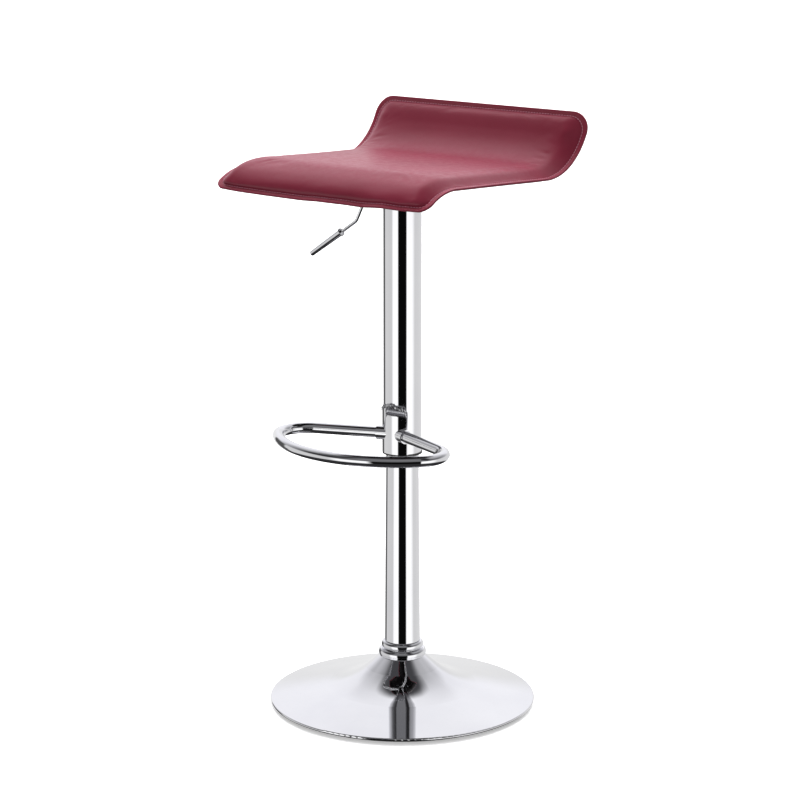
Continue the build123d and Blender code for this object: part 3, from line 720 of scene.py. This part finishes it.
def make_seat(finishes, painted_light_lip):
    """The cushion over the sewn sheet and the underside below it, each PARTING off the sheet."""
    plan, numbers = ring_grid()
    plan = relax_plan(plan, numbers)
    across, along, inset = plan.T
    insets = np.concatenate([inset, inset[RIM_COUNT:]])
    wave = lip_wave(across, along, inset)

    height = cushion_height(across, along, inset)
    top = place_on_seat(across, along - front_overhang(across, along, inset), height)
    blown = puff(top, grid_faces(numbers), inset)
    top = top + cap(blown - top, CUSHION_SWELL)
    bottom = place_on_seat(across, along, wave + PARTING)
    cushion = closed_form("seat_cushion", top, bottom, numbers)
    cover_in_leather(cushion, finishes["upholstery"], painted_light_lip, insets)
    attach(cushion, "lift")
    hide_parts("seat_cover", "seat_foam", "seat_board")

    under = place_on_seat(across, along, wave + profile_height(UNDER_PROFILE, inset))
    roof = place_on_seat(across, along, wave - PARTING)
    underside = closed_form("seat_underside", under, roof, numbers)
    cover_in_leather(underside, finishes["undercover"], painted_light_lip, insets)
    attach(underside, "lift")
    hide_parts("seat_undercover")
    return cushion, underside


# ---------------------------------------------------------------- seat: its stitches

# A stitch is a short thread, thickest and highest at its middle. TOP_SEAM and UNDER_SEAM are how far
# its ends lie off the sheet, and FRONT_SINK is how much deeper the top row lies along the front.
STITCH_PITCH = 4.7 * MM
STITCH_LENGTH = 3.9 * MM
STITCH_RADIUS = 0.72 * MM
STITCH_ARCH = 0.32 * MM
STITCH_RINGS = 6
STITCH_SIDES = 6
SEAM_SAMPLES = 1200
FRONT_SINK = 0.6 * MM
TOP_SEAM = 0.95 * MM
UNDER_SEAM = 1.05 * MM


def make_stitching(name, up_or_down, seam_height, thread):
    """A row of thread stitches lying in the seam, all round the seat. up_or_down is 1 for the row
    on top, which lies deeper along the front, and -1 for the row below."""
    path = outline(SEAM_INSET, SEAM_SAMPLES)
    closed = np.vstack([path, path[:1]])
    lengths = np.concatenate([[0.0], np.cumsum(np.linalg.norm(np.diff(closed, axis=0), axis=1))])
    count = int(round(lengths[-1] / STITCH_PITCH))
    pitch = lengths[-1] / count
    t = np.linspace(0.0, 1.0, STITCH_RINGS)
    arch = np.sin(math.pi * t)
    radius = STITCH_RADIUS * np.sqrt(0.28 + 0.72 * arch)
    vertices = []
    faces = []
    for number in range(count):
        run = np.mod(number * pitch + STITCH_LENGTH * t, lengths[-1])
        across = np.interp(run, lengths, closed[:, 0])
        along = np.interp(run, lengths, closed[:, 1])
        wave = edge_wave(across, along)
        seam = seam_height + STITCH_ARCH * arch
        if up_or_down > 0:
            seam = seam - FRONT_SINK * (1.0 - smooth(9 * MM, 24 * MM, along))
        centre = place_on_seat(across, along, wave + up_or_down * seam)
        up = place_on_seat(across, along, wave + up_or_down * (seam + MM)) - centre
        up /= np.linalg.norm(up, axis=1, keepdims=True)
        ahead = np.gradient(centre, axis=0)
        ahead /= np.linalg.norm(ahead, axis=1, keepdims=True)
        side = np.cross(ahead, up)
        faces += tube_faces(len(vertices), STITCH_RINGS, STITCH_SIDES)
        for k in range(STITCH_RINGS):
            for m in range(STITCH_SIDES):
                turn = 2.0 * math.pi * m / STITCH_SIDES
                offset = math.cos(turn) * side[k] + math.sin(turn) * up[k]
                vertices.append(centre[k] + radius[k] * offset)
    stitching = new_object(name, vertices, faces)
    face_outwards(stitching)
    set_material(stitching, thread)
    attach(stitching, "lift")


# ---------------------------------------------------------------- footrest weld

# The bead's middle lies WELD_DEPTH inside the saddle's outer face and WELD_SINK below its top edge.
# It wanders up and down by WELD_WANDER, and stops the angle SADDLE_END short of each side. The
# saddle's top edge is an arch that lies ARCH_DROP lower at the saddle's full reach than in front.
WELD_RADIUS = 2.3 * MM
WELD_DEPTH = 0.6 * MM
WELD_SINK = 0.5 * MM
WELD_WANDER = 0.5 * MM
WELD_RINGS = 151
WELD_SIDES = 16
SADDLE_END = math.radians(2.0)
ARCH_DROP = 20.0 * MM


def weld_radius(run, angle, share):
    """Radius of the lumpy bead: run (m) is the way along it, angle is round its section and share
    is from 0 at one end to 1 at the other, where it tapers off."""
    ripples = 1.0 + 0.30 * abs(sway(run, 1.25, 0.0)) + 0.20 * sway(run, 2.3, 0.4)
    lumps = 1.0 + 0.20 * sway(run, 1.7, 3.0 * angle) + 0.16 * sway(-run, 1.1, 5.0 * angle)
    taper = math.sin(math.pi * min(max(share, 0.02), 0.98)) ** 0.25
    return float(WELD_RADIUS * ripples * taper * lumps)


def make_saddle_weld():
    """The lumpy bead along the arched top edge of the footrest's saddle."""
    low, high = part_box("footrest_saddle")
    reach = -low[1]
    half_turn = math.asin(high[0] / reach) - SADDLE_END
    arch_radius = (reach ** 2 + ARCH_DROP ** 2) / (2.0 * ARCH_DROP)
    path_radius = reach - WELD_DEPTH
    up = Vector((0.0, 0.0, 1.0))
    vertices = []
    for ring in range(WELD_RINGS):
        share = ring / (WELD_RINGS - 1)
        turn = half_turn * (2.0 * share - 1.0)
        run = path_radius * turn
        out = Vector((math.sin(turn), -math.cos(turn), 0.0))
        centre = path_radius * out
        arch = arch_radius - math.sqrt(arch_radius ** 2 - centre.x ** 2)
        centre.z = high[2] - arch - WELD_SINK + WELD_WANDER * sway(run, 3.1, 1.0)
        for m in range(WELD_SIDES):
            angle = 2.0 * math.pi * m / WELD_SIDES
            offset = 0.8 * math.cos(angle) * out + math.sin(angle) * up
            vertices.append(centre + weld_radius(run, angle, share) * offset)
    weld = new_object("saddle_weld", vertices, tube_faces(0, WELD_RINGS, WELD_SIDES))
    face_outwards(weld)
    set_material(weld, weld_material())
    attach(weld, "lift")


# ---------------------------------------------------------------- studio

# Brightness round the studio by azimuth (degrees): 0 is behind the camera, negative to its left.
LOW_SKY = [
    (-180, 0.88), (-150, 0.92), (-147, 0.10), (-126, 0.10), (-122, 0.74), (-66, 0.70), (-56, 1.2),
    (-28, 1.25), (-23, 0.003), (23, 0.003), (28, 1.25), (62, 1.2), (80, 0.74), (150, 0.80), (180, 0.88),
]
MIDDLE_SKY = [
    (-180, 1.05), (-148, 0.95), (-124, 0.42), (-92, 0.05), (-66, 0.03), (-48, 0.16), (26, 0.16),
    (44, 0.08), (92, 0.22), (124, 0.45), (148, 0.95), (180, 1.05),
]
HIGH_SKY = [
    (-180, 0.98), (-150, 0.85), (-112, 0.50), (-88, 0.14), (-66, 0.06), (-58, 0.02), (-46, 0.20),
    (24, 0.20), (38, 0.02), (58, 0.02), (66, 0.30), (88, 0.42), (112, 0.52), (150, 0.85), (180, 0.98),
]
TOP_SKY = (0.06, 0.06, 0.065, 1.0)
GROUND = (0.03, 0.03, 0.032, 1.0)

# The heights (sine of the elevation) between which the sky goes over from one band to another.
LOW_TO_MIDDLE = (0.12, 0.32)
MIDDLE_TO_HIGH = (0.52, 0.70)
HIGH_TO_TOP = (0.84, 0.95)
LOW_TO_GROUND = (-0.42, -0.56)

NEUTRAL = 1.0
COOL = 1.04


def make_world():
    """A bright studio seen all round: white and pale grey flats, and a dark zone behind the camera.
    The camera itself sees plain white."""
    world = bpy.data.worlds.new("studio")
    bpy.context.scene.world = world
    world.use_nodes = True
    tree = world.node_tree
    links = tree.links

    def sky_band(share, stops, blue):
        ramp = add_node(tree, "ShaderNodeValToRGB")
        links.new(share, ramp.inputs["Fac"])
        fill_ramp(ramp, [((angle + 180) / 360, (value, value, value * blue)) for angle, value in stops])
        return ramp.outputs["Color"]

    def height_share(height, limits):
        step = add_node(tree, "ShaderNodeMapRange", interpolation_type="SMOOTHSTEP")
        step.inputs["From Min"].default_value = limits[0]
        step.inputs["From Max"].default_value = limits[1]
        links.new(height, step.inputs["Value"])
        return step.outputs["Result"]

    def blend(share, lower, upper):
        """Mix two colors. upper is a node's output or a plain color."""
        mix = add_node(tree, "ShaderNodeMix", data_type="RGBA")
        links.new(share, mix.inputs["Factor"])
        first, second = (socket for socket in mix.inputs if socket.type == "RGBA")
        links.new(lower, first)
        if isinstance(upper, tuple):
            second.default_value = upper
        else:
            links.new(upper, second)
        return next(socket for socket in mix.outputs if socket.type == "RGBA")

    place = add_node(tree, "ShaderNodeTexCoord").outputs["Generated"]
    turn = add_node(tree, "ShaderNodeVectorRotate", rotation_type="Z_AXIS")
    turn.inputs["Angle"].default_value = math.pi / 2 - CAMERA_AZIMUTH
    links.new(place, turn.inputs["Vector"])
    split = add_node(tree, "ShaderNodeSeparateXYZ")
    links.new(turn.outputs["Vector"], split.inputs["Vector"])
    azimuth = add_node(tree, "ShaderNodeMath", operation="ARCTAN2")
    links.new(split.outputs["Y"], azimuth.inputs[0])
    links.new(split.outputs["X"], azimuth.inputs[1])
    round_share = add_node(tree, "ShaderNodeMapRange")
    round_share.inputs["From Min"].default_value = -math.pi
    round_share.inputs["From Max"].default_value = math.pi
    links.new(azimuth.outputs["Value"], round_share.inputs["Value"])
    share = round_share.outputs["Result"]
    height = split.outputs["Z"]
    sky = sky_band(share, LOW_SKY, NEUTRAL)
    sky = blend(height_share(height, LOW_TO_MIDDLE), sky, sky_band(share, MIDDLE_SKY, COOL))
    sky = blend(height_share(height, MIDDLE_TO_HIGH), sky, sky_band(share, HIGH_SKY, COOL))
    sky = blend(height_share(height, HIGH_TO_TOP), sky, TOP_SKY)
    sky = blend(height_share(height, LOW_TO_GROUND), sky, GROUND)
    background = tree.nodes["Background"]
    links.new(sky, background.inputs["Color"])

    white = add_node(tree, "ShaderNodeBackground")
    white.inputs["Color"].default_value = (1.0, 1.0, 1.0, 1.0)
    rays = add_node(tree, "ShaderNodeLightPath")
    choose = add_node(tree, "ShaderNodeMixShader")
    links.new(rays.outputs["Is Camera Ray"], choose.inputs["Fac"])
    links.new(background.outputs["Background"], choose.inputs[1])
    links.new(white.outputs["Background"], choose.inputs[2])
    links.new(choose.outputs["Shader"], tree.nodes["World Output"].inputs["Surface"])


FLOOR_HALF = 12.0
FLOOR_WHITE = (0.95, 0.95, 0.95, 1.0)
FLOOR_GLOW = 0.45


def make_floor():
    """A pale floor that glows a little, so that it ends as white and keeps only a faint shadow. The
    stool neither reflects it nor gets light from it."""
    corners = [(-1, -1), (1, -1), (1, 1), (-1, 1)]
    vertices = [(FLOOR_HALF * x, FLOOR_HALF * y, 0.0) for x, y in corners]
    floor = new_object("studio_floor", vertices, [(0, 1, 2, 3)])
    material = bpy.data.materials.new("studio_floor")
    material.use_nodes = True
    bsdf = material.node_tree.nodes["Principled BSDF"]
    bsdf.inputs["Base Color"].default_value = FLOOR_WHITE
    bsdf.inputs["Roughness"].default_value = 0.9
    bsdf.inputs["Emission Color"].default_value = (1.0, 1.0, 1.0, 1.0)
    bsdf.inputs["Emission Strength"].default_value = FLOOR_GLOW
    set_material(floor, material)
    floor.visible_glossy = False
    floor.visible_diffuse = False


# Name, azimuth and elevation (degrees), strength and spread (degrees) of each soft light. SEAT_LIGHT
# makes the highlight across the seat and lights nothing else.
STUDIO_LIGHTS = [
    ("top_light", 180, 43, 5.0, 70),
    ("front_fill", -35, 4, 0.46, 80),
    ("overhead_box", 5, 78, 0.40, 44),
]
SEAT_LIGHT = ("seat_highlight", 169, 9, 0.045, 24)


def make_sun(name, azimuth, elevation, strength, spread, only_on=()):
    """A very soft overall light. Azimuth 0 is behind the camera. It shows in the reflections of the
    pieces in only_on, which are then the only ones that it lights."""
    data = bpy.data.lights.new(name, "SUN")
    data.energy = strength
    data.angle = math.radians(spread)
    light = bpy.data.objects.new(name, data)
    bpy.context.scene.collection.objects.link(light)
    turn = CAMERA_AZIMUTH + math.radians(azimuth)
    rise = math.radians(elevation)
    toward = Vector((
        math.sin(turn) * math.cos(rise),
        -math.cos(turn) * math.cos(rise),
        math.sin(rise),
    ))
    light.rotation_euler = toward.to_track_quat("Z", "Y").to_euler()
    light.visible_glossy = bool(only_on)
    if only_on:
        lit = bpy.data.collections.new(name)
        for piece in only_on:
            lit.objects.link(piece)
        light.light_linking.receiver_collection = lit


# ---------------------------------------------------------------- make everything

bpy.context.scene.view_settings.view_transform = "Standard"
make_camera()
make_world()
make_floor()
for studio_light in STUDIO_LIGHTS:
    make_sun(*studio_light)

slot_materials = slot_finishes()
# The lip's leather is a lighter copy of the seat's burgundy. It is painted light, standing in for the
# light thrown up onto the lip from below.
lip_painted_lighter = leather_material("lip_painted_lighter", (0.270, 0.026, 0.053), (0.325, 0.035, 0.067), 0.34)
stitch_thread = thread_material()
dress_cad_nodes(slot_materials)
seat_pieces = make_seat(slot_materials, lip_painted_lighter)
make_stitching("seat_stitching", 1, TOP_SEAM, stitch_thread)
make_stitching("seat_under_stitching", -1, UNDER_SEAM, stitch_thread)
make_saddle_weld()
make_sun(*SEAT_LIGHT, only_on=seat_pieces)
